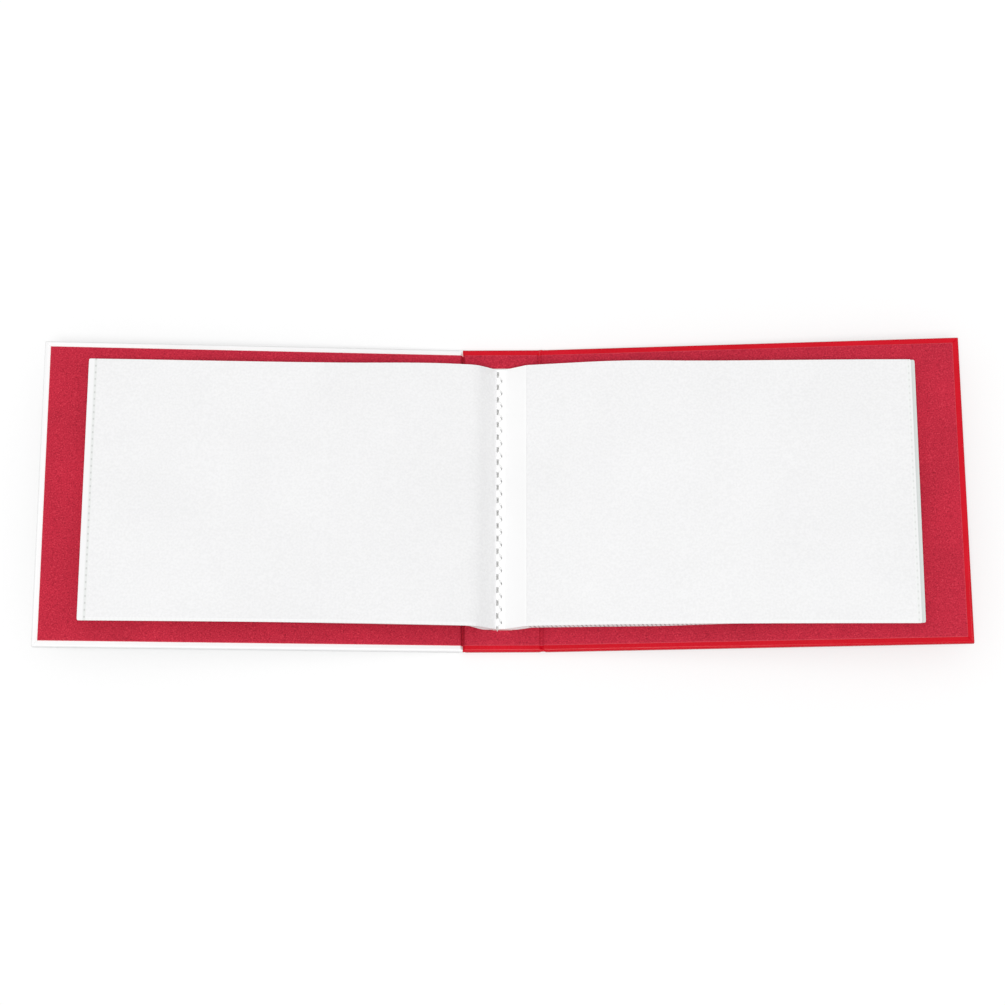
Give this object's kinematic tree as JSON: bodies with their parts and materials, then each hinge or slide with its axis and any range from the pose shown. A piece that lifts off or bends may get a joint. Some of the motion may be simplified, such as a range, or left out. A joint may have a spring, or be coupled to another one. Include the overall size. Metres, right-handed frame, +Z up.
{
  "type": "photo album",
  "caption": "Hinged photo album lying open on its spine: wrapped and lined cover boards around a sewn block of slip-in pocket leaves that close together with the covers.",
  "frame": {"origin": "on the table, under the middle of the spine", "axes": "+X along the open spread towards the back cover, +Y up the page, +Z up from the table"},
  "size_m": [0.3672, 0.125, 0.0203],
  "materials": {
    "board": "matte",
    "white_wrap": "satin",
    "red_wrap": "gloss",
    "red_liner": "matte",
    "binding_strip": "matte",
    "thread": "matte",
    "pocket_film": "satin"
  },
  "bodies": {
    "spine": {"spine_board": "board", "spine_wrap": "red_wrap", "spine_liner": "red_liner", "front_hinge_cloth": "red_wrap", "back_hinge_cloth": "red_wrap", "binding_strip": "binding_strip", "needle_thread": "thread", "bobbin_thread": "thread", "sheet_1_fold": "pocket_film", "sheet_2_fold": "pocket_film", "sheet_3_fold": "pocket_film", "sheet_4_fold": "pocket_film", "sheet_5_fold": "pocket_film", "sheet_6_fold": "pocket_film"},
    "front_cover": {"front_cover_board": "board", "front_cover_wrap": "white_wrap", "front_cover_liner": "red_liner"},
    "back_cover": {"back_cover_board": "board", "back_cover_wrap": "red_wrap", "back_cover_liner": "red_liner"},
    "left_margin_1": {"left_leaf_1_margin": "pocket_film"},
    "left_pocket_1": {"left_leaf_1_back_film": "pocket_film", "left_leaf_1_front_film": "pocket_film"},
    "left_margin_2": {"left_leaf_2_margin": "pocket_film"},
    "left_pocket_2": {"left_leaf_2_back_film": "pocket_film", "left_leaf_2_front_film": "pocket_film"},
    "left_margin_3": {"left_leaf_3_margin": "pocket_film"},
    "left_pocket_3": {"left_leaf_3_back_film": "pocket_film", "left_leaf_3_front_film": "pocket_film"},
    "left_margin_4": {"left_leaf_4_margin": "pocket_film"},
    "left_pocket_4": {"left_leaf_4_back_film": "pocket_film", "left_leaf_4_front_film": "pocket_film"},
    "left_margin_5": {"left_leaf_5_margin": "pocket_film"},
    "left_pocket_5": {"left_leaf_5_back_film": "pocket_film", "left_leaf_5_front_film": "pocket_film"},
    "left_margin_6": {"left_leaf_6_margin": "pocket_film"},
    "left_pocket_6": {"left_leaf_6_back_film": "pocket_film", "left_leaf_6_front_film": "pocket_film"},
    "right_margin_1": {"right_leaf_1_margin": "pocket_film"},
    "right_pocket_1": {"right_leaf_1_back_film": "pocket_film", "right_leaf_1_front_film": "pocket_film"},
    "right_margin_2": {"right_leaf_2_margin": "pocket_film"},
    "right_pocket_2": {"right_leaf_2_back_film": "pocket_film", "right_leaf_2_front_film": "pocket_film"},
    "right_margin_3": {"right_leaf_3_margin": "pocket_film"},
    "right_pocket_3": {"right_leaf_3_back_film": "pocket_film", "right_leaf_3_front_film": "pocket_film"},
    "right_margin_4": {"right_leaf_4_margin": "pocket_film"},
    "right_pocket_4": {"right_leaf_4_back_film": "pocket_film", "right_leaf_4_front_film": "pocket_film"},
    "right_margin_5": {"right_leaf_5_margin": "pocket_film"},
    "right_pocket_5": {"right_leaf_5_back_film": "pocket_film", "right_leaf_5_front_film": "pocket_film"},
    "right_margin_6": {"right_leaf_6_margin": "pocket_film"},
    "right_pocket_6": {"right_leaf_6_back_film": "pocket_film", "right_leaf_6_front_film": "pocket_film"}
  },
  "joints": [
    {"name": "front_cover_hinge", "type": "hinge", "parent": "spine", "child": "front_cover", "pos_m": [-0.01575, 0, 0.00315], "axis": [0, 1, 0], "range_deg": [0, 85.2], "deforming": ["front_hinge_cloth"]},
    {"name": "left_leaf_1_gutter", "type": "hinge", "parent": "spine", "child": "left_margin_1", "pos_m": [-0.00405, 0, 0.0044], "axis": [0, 1, 0], "range_deg": [0, 6.21]},
    {"name": "left_leaf_1_crease", "type": "hinge", "parent": "left_margin_1", "child": "left_pocket_1", "pos_m": [-0.01145, 0, 0.00535], "axis": [0, 1, 0], "range_deg": [0, 78.53]},
    {"name": "left_leaf_2_gutter", "type": "hinge", "parent": "spine", "child": "left_margin_2", "pos_m": [-0.0036, 0, 0.0047], "axis": [0, 1, 0], "range_deg": [0, 14.12]},
    {"name": "left_leaf_2_crease", "type": "hinge", "parent": "left_margin_2", "child": "left_pocket_2", "pos_m": [-0.01126, 0, 0.00665], "axis": [0, 1, 0], "range_deg": [0, 71.54]},
    {"name": "left_leaf_3_gutter", "type": "hinge", "parent": "spine", "child": "left_margin_3", "pos_m": [-0.00315, 0, 0.005], "axis": [0, 1, 0], "range_deg": [0, 17.69]},
    {"name": "left_leaf_3_crease", "type": "hinge", "parent": "left_margin_3", "child": "left_pocket_3", "pos_m": [-0.01107, 0, 0.00795], "axis": [0, 1, 0], "range_deg": [0, 68.91]},
    {"name": "left_leaf_4_gutter", "type": "hinge", "parent": "spine", "child": "left_margin_4", "pos_m": [-0.0027, 0, 0.0053], "axis": [0, 1, 0], "range_deg": [0, 19.92]},
    {"name": "left_leaf_4_crease", "type": "hinge", "parent": "left_margin_4", "child": "left_pocket_4", "pos_m": [-0.01089, 0, 0.00925], "axis": [0, 1, 0], "range_deg": [0, 67.6]},
    {"name": "left_leaf_5_gutter", "type": "hinge", "parent": "spine", "child": "left_margin_5", "pos_m": [-0.00225, 0, 0.0056], "axis": [0, 1, 0], "range_deg": [0, 21.5]},
    {"name": "left_leaf_5_crease", "type": "hinge", "parent": "left_margin_5", "child": "left_pocket_5", "pos_m": [-0.0107, 0, 0.01055], "axis": [0, 1, 0], "range_deg": [0, 66.94]},
    {"name": "left_leaf_6_gutter", "type": "hinge", "parent": "spine", "child": "left_margin_6", "pos_m": [-0.0018, 0, 0.0059], "axis": [0, 1, 0], "range_deg": [0, 22.7]},
    {"name": "left_leaf_6_crease", "type": "hinge", "parent": "left_margin_6", "child": "left_pocket_6", "pos_m": [-0.01052, 0, 0.01185], "axis": [0, 1, 0], "range_deg": [0, 66.67]},
    {"name": "back_cover_hinge", "type": "hinge", "parent": "spine", "child": "back_cover", "pos_m": [0.01575, 0, 0.00315], "axis": [0, -1, 0], "range_deg": [0, 85.2], "deforming": ["back_hinge_cloth"]},
    {"name": "right_leaf_1_gutter", "type": "hinge", "parent": "spine", "child": "right_margin_1", "pos_m": [0.00405, 0, 0.0044], "axis": [0, -1, 0], "range_deg": [0, 6.21]},
    {"name": "right_leaf_1_crease", "type": "hinge", "parent": "right_margin_1", "child": "right_pocket_1", "pos_m": [0.01145, 0, 0.00535], "axis": [0, -1, 0], "range_deg": [0, 78.53]},
    {"name": "right_leaf_2_gutter", "type": "hinge", "parent": "spine", "child": "right_margin_2", "pos_m": [0.0036, 0, 0.0047], "axis": [0, -1, 0], "range_deg": [0, 14.12]},
    {"name": "right_leaf_2_crease", "type": "hinge", "parent": "right_margin_2", "child": "right_pocket_2", "pos_m": [0.01126, 0, 0.00665], "axis": [0, -1, 0], "range_deg": [0, 71.54]},
    {"name": "right_leaf_3_gutter", "type": "hinge", "parent": "spine", "child": "right_margin_3", "pos_m": [0.00315, 0, 0.005], "axis": [0, -1, 0], "range_deg": [0, 17.69]},
    {"name": "right_leaf_3_crease", "type": "hinge", "parent": "right_margin_3", "child": "right_pocket_3", "pos_m": [0.01107, 0, 0.00795], "axis": [0, -1, 0], "range_deg": [0, 68.91]},
    {"name": "right_leaf_4_gutter", "type": "hinge", "parent": "spine", "child": "right_margin_4", "pos_m": [0.0027, 0, 0.0053], "axis": [0, -1, 0], "range_deg": [0, 19.92]},
    {"name": "right_leaf_4_crease", "type": "hinge", "parent": "right_margin_4", "child": "right_pocket_4", "pos_m": [0.01089, 0, 0.00925], "axis": [0, -1, 0], "range_deg": [0, 67.6]},
    {"name": "right_leaf_5_gutter", "type": "hinge", "parent": "spine", "child": "right_margin_5", "pos_m": [0.00225, 0, 0.0056], "axis": [0, -1, 0], "range_deg": [0, 21.5]},
    {"name": "right_leaf_5_crease", "type": "hinge", "parent": "right_margin_5", "child": "right_pocket_5", "pos_m": [0.0107, 0, 0.01055], "axis": [0, -1, 0], "range_deg": [0, 66.94]},
    {"name": "right_leaf_6_gutter", "type": "hinge", "parent": "spine", "child": "right_margin_6", "pos_m": [0.0018, 0, 0.0059], "axis": [0, -1, 0], "range_deg": [0, 22.7]},
    {"name": "right_leaf_6_crease", "type": "hinge", "parent": "right_margin_6", "child": "right_pocket_6", "pos_m": [0.01052, 0, 0.01185], "axis": [0, -1, 0], "range_deg": [0, 66.67]}
  ],
  "couplings": [
    {"joint": "left_leaf_1_gutter", "follows": "front_cover_hinge", "ratio": 0.07275},
    {"joint": "left_leaf_1_crease", "follows": "front_cover_hinge", "ratio": 0.92159},
    {"joint": "left_leaf_2_gutter", "follows": "front_cover_hinge", "ratio": 0.16566},
    {"joint": "left_leaf_2_crease", "follows": "front_cover_hinge", "ratio": 0.83956},
    {"joint": "left_leaf_3_gutter", "follows": "front_cover_hinge", "ratio": 0.20746},
    {"joint": "left_leaf_3_crease", "follows": "front_cover_hinge", "ratio": 0.80864},
    {"joint": "left_leaf_4_gutter", "follows": "front_cover_hinge", "ratio": 0.2337},
    {"joint": "left_leaf_4_crease", "follows": "front_cover_hinge", "ratio": 0.79328},
    {"joint": "left_leaf_5_gutter", "follows": "front_cover_hinge", "ratio": 0.25228},
    {"joint": "left_leaf_5_crease", "follows": "front_cover_hinge", "ratio": 0.78558},
    {"joint": "left_leaf_6_gutter", "follows": "front_cover_hinge", "ratio": 0.26635},
    {"joint": "left_leaf_6_crease", "follows": "front_cover_hinge", "ratio": 0.78239},
    {"joint": "right_leaf_1_gutter", "follows": "back_cover_hinge", "ratio": 0.07275},
    {"joint": "right_leaf_1_crease", "follows": "back_cover_hinge", "ratio": 0.92159},
    {"joint": "right_leaf_2_gutter", "follows": "back_cover_hinge", "ratio": 0.16566},
    {"joint": "right_leaf_2_crease", "follows": "back_cover_hinge", "ratio": 0.83956},
    {"joint": "right_leaf_3_gutter", "follows": "back_cover_hinge", "ratio": 0.20746},
    {"joint": "right_leaf_3_crease", "follows": "back_cover_hinge", "ratio": 0.80864},
    {"joint": "right_leaf_4_gutter", "follows": "back_cover_hinge", "ratio": 0.2337},
    {"joint": "right_leaf_4_crease", "follows": "back_cover_hinge", "ratio": 0.79328},
    {"joint": "right_leaf_5_gutter", "follows": "back_cover_hinge", "ratio": 0.25228},
    {"joint": "right_leaf_5_crease", "follows": "back_cover_hinge", "ratio": 0.78558},
    {"joint": "right_leaf_6_gutter", "follows": "back_cover_hinge", "ratio": 0.26635},
    {"joint": "right_leaf_6_crease", "follows": "back_cover_hinge", "ratio": 0.78239}
  ]
}
